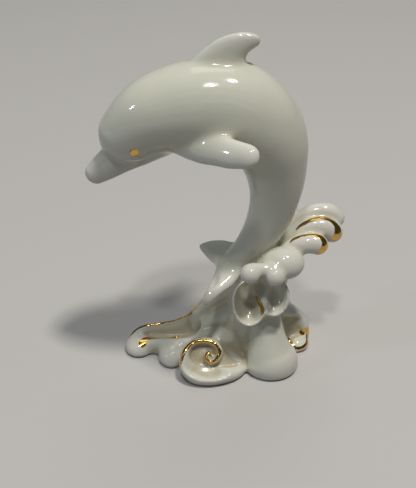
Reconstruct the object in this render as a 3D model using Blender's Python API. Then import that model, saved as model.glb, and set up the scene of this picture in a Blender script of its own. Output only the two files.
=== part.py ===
"""Glazed porcelain figurine, cast in one piece: a dolphin leaping out of a scrolling wave.

Run it with: blender --background --python part.py
Metres, +Z up. The origin is on the flat foot, under the wave's trunk. The dolphin's midplane is
Y = 0, its head is towards -X, and its left flank, the figurine's front, is towards -Y.
"""

import math

import bmesh
import bpy
import numpy as np
from mathutils import Vector
from mathutils.bvhtree import BVHTree

MM = 0.001

# The whole figurine: from beak to crest, across both pectoral fins, and from foot to dorsal fin
LENGTH = 71.1 * MM
DEPTH = 40.4 * MM
HEIGHT = 100.5 * MM

# The dolphin's body at its thickest, and the wave's two foam knobs
BODY_GIRTH = 24.2 * MM
KNOB_WIDTH = 5.8 * MM

# Radius of the foot's rounded lower edge
FOOT_ROUND = 1.1 * MM

# How far the clay is rounded in where two forms meet
SHARP_CREASE = 0.6 * MM
CASTING_CREASE = 1.0 * MM
FOAM_CREASE = 1.6 * MM
BEAK_CREASE = 0.8 * MM
WAVE_JOIN = 2.2 * MM
TAIL_JOIN = 2.4 * MM
FIN_JOIN = 3.6 * MM

# How finely the clay is worked
VOXEL = 0.50 * MM
TRIANGLES = 12600
STATION_STEPS = 6
RING_SIDES = 28
CAP_RINGS = 5

# All forms are drawn in mm for a figurine of this length, depth and height, then stretched to its sizes
DRAWN = (71.1, 40.4, 100.5)
DRAWN_GIRTH = 24.2
ALONG_X = LENGTH / DRAWN[0]
ALONG_Y = DEPTH / DRAWN[1]
ALONG_Z = HEIGHT / DRAWN[2]

X_AXIS = Vector((1, 0, 0))
Y_AXIS = Vector((0, 1, 0))
Z_AXIS = Vector((0, 0, 1))

# Dolphin: stations down the body in the midplane: x, z and the body's radius there
BODY = (
    (-30.6, 68.6, 1.0),
    (-30.1, 69.1, 3.0),
    (-28.4, 70.6, 5.8),
    (-25.6, 73.0, 7.8),
    (-18.6, 78.3, 10.1),
    (-11.7, 80.7, 11.3),
    (-5.0, 81.6, 11.9),
    (1.0, 81.2, 12.1),
    (5.2, 79.0, 11.9),
    (9.0, 75.3, 11.2),
    (11.8, 70.2, 10.0),
    (13.3, 64.4, 8.5),
    (13.8, 58.6, 7.4),
    (13.3, 52.6, 6.5),
    (12.0, 47.2, 5.9),
    (9.8, 42.0, 5.2),
    (6.6, 37.3, 4.3),
    (2.8, 33.3, 3.2),
    (-0.6, 31.0, 2.1),
)
BODY_FLATNESS = 0.94

# Beak and jaw: x, z, half-width and half-height
BEAK = (
    (-33.9, 61.9, 2.7, 3.1),
    (-31.2, 64.0, 3.3, 3.9),
    (-27.0, 67.2, 3.7, 4.8),
    (-22.0, 70.5, 4.6, 5.8),
    (-17.0, 74.0, 6.2, 6.8),
)


def placed(point):
    """A drawn point, or half-sizes, in metres on the figurine."""
    return Vector((point[0] * ALONG_X, point[1] * ALONG_Y, point[2] * ALONG_Z))


def spline(rows, steps=STATION_STEPS):
    """Rows of numbers joined by a Catmull-Rom curve that passes through each row."""
    rows = np.array(rows, float)
    padded = np.vstack([2 * rows[0] - rows[1], rows, 2 * rows[-1] - rows[-2]])
    samples = []
    for i in range(1, len(rows)):
        a, b, c, d = padded[i - 1 : i + 3]
        for step in range(steps):
            t = step / steps
            doubled = (
                2 * b
                + (c - a) * t
                + (2 * a - 5 * b + 4 * c - d) * t**2
                + (3 * b - a - 3 * c + d) * t**3
            )
            samples.append(0.5 * doubled)
    samples.append(rows[-1])
    return np.array(samples)


def lump(name, rings, poles):
    """A closed mesh object through rings of points, closed by a pole at each end."""
    mesh = bmesh.new()
    loops = [[mesh.verts.new(placed(p)) for p in ring] for ring in rings]
    sides = len(loops[0])
    for one, other in zip(loops, loops[1:]):
        for i in range(sides):
            mesh.faces.new((one[i], one[(i + 1) % sides], other[(i + 1) % sides], other[i]))
    for loop, pole in ((loops[0], poles[0]), (loops[-1], poles[1])):
        tip = mesh.verts.new(placed(pole))
        for i in range(sides):
            mesh.faces.new((loop[i], loop[(i + 1) % sides], tip))
    bmesh.ops.recalc_face_normals(mesh, faces=mesh.faces)
    data = bpy.data.meshes.new(name)
    mesh.to_mesh(data)
    mesh.free()
    return bpy.data.objects.new(name, data)


def ring(centre, across, up, a, b):
    """An ellipse of half-sizes a along across and b along up."""
    angles = (2 * math.pi * i / RING_SIDES for i in range(RING_SIDES))
    return [centre + across * (a * math.cos(t)) + up * (b * math.sin(t)) for t in angles]


def sweep(name, stations, side, roundness=1.0):
    """A bar with rounded ends through stations of x, y, z, half-size along side and half-size across it."""
    rows = spline(stations)
    centres = [Vector(row[:3]) for row in rows]
    frames = []
    for i in range(len(rows)):
        along = (centres[min(i + 1, len(rows) - 1)] - centres[max(i - 1, 0)]).normalized()
        across = (side - along * side.dot(along)).normalized()
        frames.append((along, across, across.cross(along)))
    rings, poles = [], []
    for end, outward in ((0, -1), (-1, 1)):
        along, across, up = frames[end]
        a, b = rows[end][3:]
        reach = min(a, b) * roundness
        caps = []
        for step in range(1, CAP_RINGS):
            turn = math.pi / 2 * step / CAP_RINGS
            centre = centres[end] + along * (outward * reach * math.sin(turn))
            caps.append(ring(centre, across, up, a * math.cos(turn), b * math.cos(turn)))
        poles.append(centres[end] + along * (outward * reach))
        rings.append(caps)
    middle = [ring(c, f[1], f[2], row[3], row[4]) for c, f, row in zip(centres, frames, rows)]
    return lump(name, rings[0][::-1] + middle + rings[1], poles)


def blade(name, rows, normal):
    """A fin through rows of leading edge x, y, z, trailing edge x, y, z and thickness."""
    rings = []
    for row in spline(rows):
        front, back = Vector(row[:3]), Vector(row[3:6])
        chord = (back - front) / 2
        flat = (normal - chord.normalized() * normal.dot(chord.normalized())).normalized()
        rings.append(ring((front + back) / 2, chord.normalized(), flat, chord.length, row[6] / 2))
    middle = [sum(ends, Vector()) / len(ends) for ends in (rings[0], rings[-1])]
    return lump(name, rings, middle)


def ball(name, centre, radii):
    """An ellipsoid with its centre and half-sizes."""
    mesh = bmesh.new()
    bmesh.ops.create_uvsphere(mesh, u_segments=32, v_segments=20, radius=1)
    bmesh.ops.scale(mesh, vec=placed(radii), verts=mesh.verts)
    bmesh.ops.translate(mesh, vec=placed(centre), verts=mesh.verts)
    data = bpy.data.meshes.new(name)
    mesh.to_mesh(data)
    mesh.free()
    return bpy.data.objects.new(name, data)


def evaluated(obj):
    """The object's mesh with its modifiers applied."""
    bpy.context.view_layer.update()
    graph = bpy.context.evaluated_depsgraph_get()
    return bpy.data.meshes.new_from_object(obj.evaluated_get(graph))


def join_weights(mesh, trees, reach):
    """For each point, 1 where two lumps meet, falling to 0 where the second is twice the reach away."""
    weights = np.zeros(len(mesh.vertices))
    for vertex in mesh.vertices:
        hits = [tree.find_nearest(vertex.co, 2 * reach) for tree in trees]
        gaps = sorted(hit[3] for hit in hits if hit[0] is not None)
        if len(gaps) > 1:
            weights[vertex.index] = min(1.0, 2 - gaps[1] / reach)
    return weights


def knead(name, lumps, blend):
    """One clay body from overlapping lumps, with the creases between them rounded to about blend."""
    trees = []
    union = bmesh.new()
    for piece in lumps:
        mesh = bmesh.new()
        mesh.from_mesh(piece.data)
        trees.append(BVHTree.FromBMesh(mesh))
        mesh.free()
        union.from_mesh(piece.data)
    data = bpy.data.meshes.new(name)
    union.to_mesh(data)
    union.free()
    clay = bpy.data.objects.new(name, data)
    bpy.context.scene.collection.objects.link(clay)
    remesh = clay.modifiers.new("clay", "REMESH")
    remesh.mode = "VOXEL"
    remesh.voxel_size = VOXEL
    clay.data = evaluated(clay)
    clay.modifiers.clear()

    weights = join_weights(clay.data, trees, blend)
    group = clay.vertex_groups.new(name="joins")
    for index in np.flatnonzero(weights > 0):
        group.add([int(index)], float(weights[index]), "REPLACE")
    melt = clay.modifiers.new("melt", "SMOOTH")
    melt.factor = 0.5
    melt.iterations = max(1, round(4 * (0.5 * blend / VOXEL) ** 2))
    melt.vertex_group = group.name
    clay.data = evaluated(clay)
    clay.modifiers.clear()
    clay.vertex_groups.clear()
    bpy.context.scene.collection.objects.unlink(clay)
    return clay


def press(clay, tools):
    """Pushes the clay inside each round tool along its direction until it lies on the tool."""
    for centre, radii, push in tools:
        size = placed(radii)
        step = Vector(p / s for p, s in zip(push, size))
        for vertex in clay.data.vertices:
            inside = Vector(p / s for p, s in zip(vertex.co - placed(centre), size))
            if inside.length < 1:
                a = step.dot(step)
                b = step.dot(inside)
                reach = (math.sqrt(b * b - a * (inside.dot(inside) - 1)) - b) / a
                vertex.co += push * reach


def round_foot(clay):
    """Draws the clay in towards the floor, so that the foot's lower edge is rounded."""
    flats = [Vector((vertex.normal.x, vertex.normal.y, 0)) for vertex in clay.data.vertices]
    for vertex, flat in zip(clay.data.vertices, flats):
        drop = min(FOOT_ROUND, max(0, FOOT_ROUND - vertex.co.z))
        vertex.co -= flat * (FOOT_ROUND - math.sqrt(FOOT_ROUND**2 - drop**2))


def pectoral_fin(side, turn):
    """A thick rounded flipper that points back and out from the chest."""
    return sweep(
        side + "_pectoral_fin",
        (
            (-13.0, turn * 2.0, 75.0, 4.6, 3.2),
            (-9.0, turn * 6.0, 74.6, 4.6, 3.0),
            (-5.4, turn * 9.5, 74.8, 4.4, 2.7),
            (-2.0, turn * 12.6, 75.6, 4.0, 2.4),
            (1.4, turn * 15.3, 76.3, 3.8, 2.2),
            (4.4, turn * 17.2, 76.7, 3.3, 2.1),
        ),
        Vector((0.25, -turn * 0.45, 0.85)).normalized(),
        1.9,
    )


def dolphin():
    wide = BODY_FLATNESS * BODY_GIRTH / DRAWN_GIRTH / ALONG_Y
    deep = BODY_GIRTH / DRAWN_GIRTH / ALONG_Z
    body = sweep("body", [(x, 0, z, r * wide, r * deep) for x, z, r in BODY], Y_AXIS, 0.2)
    beak = sweep("beak", [(x, 0, z, a, b) for x, z, a, b in BEAK], Y_AXIS)
    dorsal = blade(
        "dorsal_fin",
        (
            (-13.0, 0, 86.0, 7.0, 0, 86.0, 6.4),
            (-8.5, 0, 93.6, 5.2, 0, 92.4, 4.8),
            (-5.0, 0, 96.9, 5.2, 0, 94.5, 4.0),
            (-1.2, 0, 99.3, 6.5, 0, 96.1, 3.3),
            (2.4, 0, 100.4, 8.0, 0, 97.4, 2.7),
            (5.0, 0, 100.5, 8.4, 0, 98.6, 2.1),
            (6.8, 0, 100.2, 8.2, 0, 99.3, 1.2),
        ),
        Y_AXIS,
    )
    left_fluke = blade(
        "left_fluke",
        (
            (8.0, -1.0, 37.0, -2.0, 0.5, 31.0, 5.0),
            (5.2, -4.5, 32.6, -2.6, -2.5, 30.4, 4.2),
            (2.6, -7.2, 30.6, -3.6, -5.5, 30.2, 3.4),
            (-0.4, -9.4, 29.4, -4.6, -8.5, 29.8, 2.8),
            (-2.6, -11.0, 28.2, -5.5, -10.4, 29.1, 2.5),
            (-4.4, -12.1, 27.1, -6.0, -11.8, 28.3, 2.1),
        ),
        Z_AXIS,
    )
    right_fluke = blade(
        "right_fluke",
        (
            (9.0, 1.0, 38.0, -2.0, 0.0, 31.0, 5.0),
            (5.4, 4.0, 37.0, -2.6, 2.4, 30.0, 4.0),
            (2.2, 6.4, 35.8, -3.6, 5.5, 29.2, 3.2),
            (-0.6, 8.4, 34.8, -4.8, 8.0, 28.9, 2.6),
            (-3.4, 10.4, 33.2, -5.8, 10.0, 29.0, 2.0),
            (-5.6, 11.6, 31.5, -6.6, 11.4, 29.3, 1.4),
            (-6.8, 12.2, 30.2, -7.0, 12.2, 29.8, 0.8),
        ),
        Z_AXIS,
    )
    head = knead("head_and_body", [body, beak], BEAK_CREASE)
    tail = knead("dolphin_with_tail", [head, dorsal, left_fluke, right_fluke], TAIL_JOIN)
    press(tail, (((-3.8, -7.0, 34.3), (3.4, 5.2, 4.2), Vector((0, 0, -1))),))
    return knead("dolphin", [tail, pectoral_fin("left", -1), pectoral_fin("right", 1)], FIN_JOIN)


def trunk():
    return [
        sweep(
            "trunk",
            (
                (9.0, 3.0, -3.0, 13.0, 11.0),
                (9.2, 2.6, 3.0, 11.0, 9.6),
                (9.4, 2.0, 10.0, 9.0, 8.2),
                (9.6, 1.2, 18.0, 7.8, 7.2),
                (10.0, 0.8, 26.0, 7.4, 6.4),
                (11.0, 0.8, 33.0, 6.4, 5.4),
                (13.0, 1.0, 37.0, 5.0, 4.4),
            ),
            X_AXIS,
        ),
        sweep(
            "front_foot",
            (
                (14.0, -7.0, -1.0, 7.8, 7.2),
                (14.2, -6.7, 2.2, 8.2, 7.8),
                (13.5, -5.8, 5.4, 6.9, 6.8),
                (12.9, -4.6, 9.4, 5.7, 5.8),
                (12.4, -3.4, 14.0, 5.0, 5.0),
                (12.0, -2.6, 19.0, 4.6, 4.6),
            ),
            X_AXIS,
        ),
    ]


def tongue():
    return [
        sweep(
            "tongue_ridge",
            (
                (4.0, 1.5, 24.0, 1.8, 3.0),
                (-2.0, 1.8, 19.4, 1.6, 2.4),
                (-6.4, 2.2, 14.2, 1.5, 1.9),
                (-9.6, 3.0, 10.4, 1.4, 1.5),
                (-13.6, 4.0, 7.0, 1.3, 1.4),
                (-19.0, 4.2, 5.6, 1.3, 1.3),
                (-24.0, 4.0, 4.8, 1.3, 1.3),
                (-27.4, 3.0, 2.8, 1.4, 1.3),
            ),
            Y_AXIS,
        ),
        sweep(
            "tongue_fold",
            (
                (-4.0, -4.0, 6.0, 2.0, 2.2),
                (-9.0, -2.6, 4.8, 1.7, 1.8),
                (-14.0, -1.6, 3.8, 1.6, 1.6),
                (-19.0, -1.0, 3.2, 1.6, 1.6),
                (-24.0, -0.6, 2.8, 1.8, 1.6),
            ),
            Y_AXIS,
        ),
        sweep(
            "tongue_back",
            (
                (4.0, 4.0, 8.0, 7.0, 12.0),
                (-3.0, 4.0, 5.5, 5.6, 9.0),
                (-8.0, 4.6, 3.0, 4.4, 6.6),
                (-14.0, 5.2, 1.0, 3.6, 5.0),
                (-20.0, 5.0, 0.4, 3.4, 4.6),
                (-25.0, 4.0, 0.2, 3.0, 3.6),
            ),
            Y_AXIS,
        ),
        sweep(
            "tongue",
            (
                (5.0, 1.0, 6.0, 5.8, 7.4),
                (-2.0, -0.8, 3.5, 6.8, 6.4),
                (-8.0, -0.4, 1.2, 6.0, 4.6),
                (-14.0, 0.4, 0.4, 4.8, 3.4),
                (-20.0, 1.2, 0.4, 4.0, 3.2),
                (-25.0, 1.4, 0.4, 3.6, 3.0),
            ),
            Y_AXIS,
        ),
        ball("tongue_tip", (-25.2, 0.4, 1.0), (4.5, 4.9, 3.6)),
        ball("small_lobe", (-15.0, -3.8, 1.2), (4.3, 5.2, 4.2)),
    ]


def front_scroll():
    """A volute that leans back: a dish with a lip below, and a thin ridge that coils over it."""
    foot = Vector((-5.2, -14.2, 2.6))
    up = Vector((0, 0.634, 0.773))
    out = X_AXIS.cross(up)
    lip = (
        (11.0, 1.6, -4.6, 1.8, 1.6),
        (8.4, 0.4, -2.4, 2.4, 2.0),
        (5.0, -0.1, -0.7, 2.6, 2.4),
        (1.0, -0.3, 0.0, 2.7, 2.7),
        (-2.8, 0.4, 0.0, 2.7, 2.7),
        (-5.3, 2.6, 0.0, 2.6, 2.2),
        (-5.9, 5.4, -0.8, 2.4, 1.5),
    )
    coil = (
        (-5.2, 2.6, -0.6, 2.0, 1.7),
        (-5.9, 5.4, -0.4, 2.6, 1.4),
        (-5.1, 7.8, -1.0, 2.6, 1.2),
        (-3.5, 9.3, -1.2, 2.6, 1.0),
        (-1.4, 10.0, -1.2, 2.6, 1.0),
        (0.8, 9.9, -1.2, 2.6, 1.0),
        (2.8, 9.1, -1.2, 2.6, 1.0),
        (4.1, 7.6, -1.2, 2.6, 1.0),
        (4.2, 5.9, -1.2, 2.6, 1.0),
        (3.2, 4.5, -1.2, 2.6, 0.9),
        (1.9, 3.9, -1.2, 2.4, 0.9),
        (0.7, 4.5, -1.2, 2.4, 0.8),
        (0.6, 5.8, -1.2, 2.2, 0.8),
        (1.3, 6.6, -1.2, 2.0, 0.7),
    )
    pad = (
        (-3.6, 5.4, -3.6, 4.2, 2.4),
        (-0.6, 5.4, -3.7, 5.4, 2.4),
        (3.2, 4.6, -3.9, 5.0, 2.2),
        (7.2, 3.0, -4.8, 3.6, 2.0),
    )

    def on_slope(rows):
        stations = []
        for u, v, lift, deep, wide in rows:
            point = foot + X_AXIS * u + up * v + out * lift
            stations.append((*point, deep, wide))
        return stations

    shoulder = (
        (-1.4, -5.4, 6.4, 2.8, 2.0),
        (2.0, -6.2, 4.2, 2.6, 2.0),
        (5.0, -7.6, 1.8, 2.8, 2.4),
    )
    dish = knead(
        "scroll_dish",
        [
            sweep("scroll_lip", on_slope(lip), out),
            sweep("scroll_pad", on_slope(pad), up),
            sweep("scroll_shoulder", shoulder, Y_AXIS),
        ],
        SHARP_CREASE,
    )
    press(dish, (((-3.2, -15.1, 7.6), (9.0, 4.8, 4.8), -out),))
    return [dish, sweep("scroll_coil", on_slope(coil), out)]


def right_scroll():
    return [
        sweep(
            "right_hood",
            (
                (14.0, 2.6, 18.0, 3.0, 3.0),
                (18.4, 3.6, 13.4, 2.6, 2.2),
                (21.4, 5.0, 10.6, 2.4, 1.9),
                (23.6, 5.8, 7.8, 2.2, 1.8),
                (25.0, 5.8, 4.8, 2.2, 1.8),
                (25.2, 5.4, 1.0, 2.2, 1.8),
            ),
            Y_AXIS,
        ),
        sweep(
            "right_back",
            (
                (14.0, 6.0, 12.0, 4.0, 6.0),
                (18.0, 6.4, 6.6, 3.6, 6.0),
                (20.0, 6.4, 1.0, 4.0, 6.0),
            ),
            Y_AXIS,
        ),
        ball("right_pad", (22.4, 2.6, 0.4), (4.4, 4.8, 3.2)),
    ]


def middle_curl():
    return [
        ball("left_cup", (7.4, -7.6, 24.0), (5.3, 5.2, 7.4)),
        ball("right_cup", (14.0, -6.2, 25.4), (4.8, 5.2, 6.3)),
    ]


def foam():
    knob = [KNOB_WIDTH / 2 / drawn for drawn in (ALONG_X, ALONG_Y, ALONG_Z)]
    return [
        ball("left_knob", (7.2, -9.6, 36.0), knob),
        ball("right_knob", (14.0, -9.2, 34.9), knob),
        ball("foam_head", (16.9, -4.6, 36.0), (5.6, 4.8, 4.7)),
        sweep(
            "foam_bridge",
            (
                (8.0, -8.8, 36.8, 2.0, 2.0),
                (10.8, -8.4, 36.6, 1.8, 1.8),
                (13.8, -7.8, 36.4, 2.2, 2.2),
            ),
            Z_AXIS,
        ),
        sweep(
            "foam_back",
            (
                (11.4, -4.8, 35.0, 2.6, 2.6),
                (13.8, -4.6, 36.4, 3.4, 3.4),
                (16.8, -3.6, 37.2, 3.6, 3.4),
            ),
            Y_AXIS,
        ),
        sweep(
            "foam_neck",
            (
                (17.0, -3.4, 36.4, 3.8, 3.8),
                (15.8, -1.2, 31.5, 3.4, 3.4),
                (15.0, -0.4, 26.0, 3.4, 3.4),
            ),
            X_AXIS,
        ),
    ]


def crest():
    return [
        sweep(
            "upper_finger",
            (
                (14.0, 5.6, 35.0, 2.6, 3.2),
                (18.0, 6.4, 39.4, 2.5, 3.0),
                (22.4, 7.2, 42.4, 2.5, 3.0),
                (26.2, 8.0, 44.2, 2.6, 3.0),
                (29.8, 8.0, 44.3, 2.6, 2.9),
                (31.9, 7.8, 42.7, 2.6, 2.7),
            ),
            Y_AXIS,
        ),
        sweep(
            "middle_finger",
            (
                (13.0, 2.2, 34.0, 2.5, 3.0),
                (17.4, 3.0, 37.6, 2.5, 2.9),
                (21.4, 3.6, 40.2, 2.5, 2.9),
                (25.4, 4.0, 42.0, 2.5, 3.0),
                (28.8, 4.0, 41.8, 2.6, 3.1),
                (30.9, 4.0, 40.3, 2.7, 3.0),
            ),
            Y_AXIS,
        ),
        sweep(
            "lower_finger",
            (
                (12.0, -1.2, 33.0, 2.4, 3.0),
                (16.0, -1.2, 36.4, 2.4, 2.9),
                (19.6, -1.2, 38.8, 2.4, 2.9),
                (23.0, -1.2, 40.0, 2.5, 2.9),
                (25.6, -1.2, 40.0, 2.6, 3.0),
                (26.4, -1.2, 39.6, 2.6, 2.9),
            ),
            Y_AXIS,
        ),
        sweep(
            "crest_root",
            (
                (11.0, 2.4, 24.0, 6.4, 5.6),
                (14.5, 2.6, 31.0, 5.6, 4.4),
                (19.0, 3.2, 36.4, 4.6, 2.4),
                (24.0, 3.8, 39.4, 4.2, 1.6),
            ),
            Y_AXIS,
        ),
        ball("crest_bud", (20.4, 8.4, 42.4), (2.6, 2.6, 2.6)),
    ]


def back_of_wave():
    return [
        sweep(
            "back_foot",
            (
                (4.0, 8.0, -2.0, 7.6, 7.4),
                (4.6, 7.6, 2.5, 7.0, 7.0),
                (6.4, 5.8, 9.0, 5.8, 5.6),
                (8.0, 4.0, 16.0, 4.8, 4.6),
            ),
            X_AXIS,
        ),
        ball("back_right_lobe", (15.0, 9.2, 1.2), (6.4, 5.4, 5.2)),
        ball("back_left_lobe", (-8.0, 7.4, 1.0), (5.8, 4.8, 4.8)),
    ]


def bowls():
    """Round tools pressed into the clay: centre, half-sizes and the way each is pushed."""
    inward = Vector((0, 1, -0.3)).normalized()
    return (
        ((7.4, -12.8, 27.2), (4.8, 8.8, 8.4), inward),
        ((14.4, -11.8, 28.4), (4.0, 7.6, 7.0), inward),
        ((10.6, -10.2, 29.6), (6.2, 7.0, 6.2), inward),
        ((22.6, 0.2, 8.4), (3.4, 4.0, 3.6), Vector((-0.5, 0.8, -0.1)).normalized()),
        ((-15.0, 1.8, 8.2), (13.0, 2.7, 5.2), Vector((0, 0.2, -1)).normalized()),
    )


def porcelain():
    """Glazed ivory porcelain."""
    material = bpy.data.materials.new("glazed_porcelain")
    material.use_nodes = True
    shader = material.node_tree.nodes["Principled BSDF"]
    shader.inputs["Base Color"].default_value = (0.70, 0.69, 0.60, 1)
    shader.inputs["Roughness"].default_value = 0.12
    shader.inputs["Metallic"].default_value = 0.0
    return material


def main():
    for obj in list(bpy.data.objects):
        bpy.data.objects.remove(obj)
    base = knead("base", trunk() + tongue() + right_scroll() + middle_curl() + back_of_wave(), WAVE_JOIN)
    press(base, bowls())
    wave = [
        base,
        knead("front_scroll", front_scroll(), SHARP_CREASE),
        knead("foam", foam(), FOAM_CREASE),
        knead("crest", crest(), SHARP_CREASE),
    ]
    figurine = knead("dolphin_on_wave", [dolphin()] + wave, CASTING_CREASE)
    round_foot(figurine)
    bpy.context.scene.collection.objects.link(figurine)
    figurine.data.materials.clear()
    figurine.data.materials.append(porcelain())
    for face in figurine.data.polygons:
        face.use_smooth = True

    faces = sum(len(face.vertices) - 2 for face in figurine.data.polygons)
    thin = figurine.modifiers.new("fewer_faces", "DECIMATE")
    thin.ratio = TRIANGLES / faces
    thin.use_collapse_triangulate = True

    floor = bmesh.new()
    bmesh.ops.create_cube(floor, size=2 * HEIGHT)
    bmesh.ops.translate(floor, vec=(0, 0, -HEIGHT), verts=floor.verts)
    data = bpy.data.meshes.new("below_the_foot")
    floor.to_mesh(data)
    floor.free()
    cutter = bpy.data.objects.new("below_the_foot", data)
    bpy.context.scene.collection.objects.link(cutter)
    cutter.hide_render = True
    cutter.display_type = "WIRE"
    cut = figurine.modifiers.new("flat_foot", "BOOLEAN")
    cut.operation = "DIFFERENCE"
    cut.object = cutter
    cut.solver = "EXACT"


main()
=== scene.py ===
"""Looks of a glazed porcelain figurine with gilt lines: a dolphin leaping out of a scrolling wave.

The figurine is cast and glazed in one piece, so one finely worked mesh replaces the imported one. The
gilding is brushed on the glaze: thin strips of gold that lie on the porcelain wherever it curves.
"""

import math

import bmesh
import bpy
import numpy as np
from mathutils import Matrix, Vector
from mathutils.bvhtree import BVHTree


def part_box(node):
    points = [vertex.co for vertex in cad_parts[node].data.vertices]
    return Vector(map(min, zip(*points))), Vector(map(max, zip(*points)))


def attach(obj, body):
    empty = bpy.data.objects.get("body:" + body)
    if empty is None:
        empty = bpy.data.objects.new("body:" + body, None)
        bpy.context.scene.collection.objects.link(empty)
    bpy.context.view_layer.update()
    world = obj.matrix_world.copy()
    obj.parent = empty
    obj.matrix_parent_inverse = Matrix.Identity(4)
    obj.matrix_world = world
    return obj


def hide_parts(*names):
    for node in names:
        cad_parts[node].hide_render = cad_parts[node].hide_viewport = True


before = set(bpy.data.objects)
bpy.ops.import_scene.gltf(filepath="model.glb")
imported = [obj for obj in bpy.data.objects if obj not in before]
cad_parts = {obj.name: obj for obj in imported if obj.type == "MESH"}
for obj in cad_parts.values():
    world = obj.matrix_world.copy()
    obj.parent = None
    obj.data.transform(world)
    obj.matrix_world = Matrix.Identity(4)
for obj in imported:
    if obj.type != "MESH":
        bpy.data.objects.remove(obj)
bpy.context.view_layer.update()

MM = 0.001

# The camera stands about where the photograph was taken from
IMAGE_HEIGHT_PX = 488
FOCAL_LENGTH_PX = 850
SENSOR_MM = 36
CAMERA_PLACE = Vector((-4.3, -194.0, 175.0)) * MM
CAMERA_PITCH = math.radians(35)

# The whole figurine, as packed
LENGTH, DEPTH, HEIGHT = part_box("dolphin_on_wave")[1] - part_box("dolphin_on_wave")[0]

# The dolphin's body at its thickest, and the wave's two foam knobs
BODY_GIRTH = 24.2 * MM
KNOB_WIDTH = 5.8 * MM

# Radius of the foot's rounded lower edge
FOOT_ROUND = 1.1 * MM

# How far the clay is rounded in where two forms meet
SHARP_CREASE = 0.6 * MM
CASTING_CREASE = 1.0 * MM
FOAM_CREASE = 1.6 * MM
BEAK_CREASE = 0.8 * MM
WAVE_JOIN = 2.2 * MM
TAIL_JOIN = 2.4 * MM
FIN_JOIN = 3.6 * MM

# How finely the clay is worked
VOXEL = 0.42 * MM
STATION_STEPS = 8
RING_SIDES = 40
CAP_RINGS = 7
BALL_SIDES = 32
BALL_RINGS = 20

# How strongly the last ripples are taken out, and how often
RIPPLE_SMOOTHING = 0.6
RIPPLE_PASSES = 3

# How far hollows and ridges are looked for, and how deep a hollow counts as full
HOLLOW_STEPS = 50
HOLLOW_DEPTH = 0.45 * MM

# How thick the gold stands on the glaze and how far its edge sinks in
GOLD_COAT = 0.07 * MM
GOLD_EDGE = 0.015 * MM

# A brush stroke: its steps, its points from edge to edge, how often its line is eased onto the glaze,
# and how much its width wavers from step to step and swells over several
GOLD_STEP = 0.25 * MM
GOLD_STRANDS = 9
GOLD_SETTLES = 4
BRUSH_WAVER = 0.06
BRUSH_SWELL = 0.04

# A dab of gold: its rings and the points on each, and how far it is from a true oval
DAB_RINGS = 6
DAB_SIDES = 28
DAB_WAVER = 0.03

# The eyes: how far forward, out and up their centres lie, and their half-sizes, in mm
EYE_X, EYE_OUT, EYE_Z = -22.6, 7.3, 72.1
EYE_ALONG, EYE_ACROSS = 1.35, 1.7

# Places where the glaze ran together and shade is painted into the creases: the centre of each and how
# far it reaches, in mm, and how much of a full hollow its middle counts as
POOLS_AND_PAINTED_SHADE = (
    ((-2.5, -11.5, 5.0), 6.4),
    ((22.8, 0.6, 6.0), 5.5),
    ((4.8, -7.6, 6.0), 5.0),
)
POOL_AND_SHADE_DEPTH = 0.9

# Colours of the porcelain: ivory in two casts, its pale clouds, and where the glaze runs thin,
# pools with painted shade in the hollows, is specked, or leaves the foot's rim bare with painted contact
# shade
IVORY_WARM = (0.735, 0.725, 0.60)
IVORY_COOL = (0.69, 0.705, 0.59)
IVORY_CLOUD = (0.77, 0.745, 0.655)
IVORY_THIN = (0.82, 0.80, 0.74)
# Honey-brown for pooled glaze, also used as painted shade in hollows and creases
HONEY_AND_PAINTED_SHADE = (0.47, 0.40, 0.25)
IRON_SPECK = (0.16, 0.12, 0.08)
# Bare clay at the foot's rim, its dark tone also painted contact shade along the floor
BARE_CLAY_AND_PAINTED_SHADE = (0.42, 0.38, 0.31)
GLAZE_IOR = 1.52

# Colours of the gold: laid thick, laid thinner, and at the frayed edge, where a dark rim is painted
# reflection
GOLD_BRIGHT = (0.80, 0.50, 0.12)
GOLD_DEEP = (0.66, 0.38, 0.08)
# Thin frayed gold, darkened to paint the dark reflection round each line
GOLD_FRAYED_AND_PAINTED_DARK = (0.30, 0.15, 0.04)

# The studio: the floor as it is seen and as it throws light back, the lamps' colours and the room's
FLOOR_HALF_WIDTH = 1.5
FLOOR_SEEN = (0.60, 0.585, 0.56)
FLOOR_BOUNCE = (0.26, 0.255, 0.25)
WARM_LAMP = (1.0, 0.97, 0.92)
WHITE_LAMP = (1.0, 1.0, 1.0)
WINDOW_LAMP = (0.72, 0.86, 1.0)
ROOM_LIGHT = (0.93, 0.96, 1.0)
ROOM_STRENGTH = 0.06

# All forms are drawn in mm for a figurine of this length, depth and height, then stretched to its sizes
DRAWN = (71.1, 40.4, 100.5)
DRAWN_GIRTH = 24.2
ALONG_X = LENGTH / DRAWN[0]
ALONG_Y = DEPTH / DRAWN[1]
ALONG_Z = HEIGHT / DRAWN[2]

X_AXIS = Vector((1, 0, 0))
Y_AXIS = Vector((0, 1, 0))
Z_AXIS = Vector((0, 0, 1))

# Dolphin: stations down the body in the midplane: x, z and the body's radius there
BODY = (
    (-30.6, 68.6, 1.0),
    (-30.1, 69.1, 3.0),
    (-28.4, 70.6, 5.8),
    (-25.6, 73.0, 7.8),
    (-18.6, 78.3, 10.1),
    (-11.7, 80.7, 11.3),
    (-5.0, 81.6, 11.9),
    (1.0, 81.2, 12.1),
    (5.2, 79.0, 11.9),
    (9.0, 75.3, 11.2),
    (11.8, 70.2, 10.0),
    (13.3, 64.4, 8.5),
    (13.8, 58.6, 7.4),
    (13.3, 52.6, 6.5),
    (12.0, 47.2, 5.9),
    (9.8, 42.0, 5.2),
    (6.6, 37.3, 4.3),
    (2.8, 33.3, 3.2),
    (-0.6, 31.0, 2.1),
)
BODY_FLATNESS = 0.94

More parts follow.
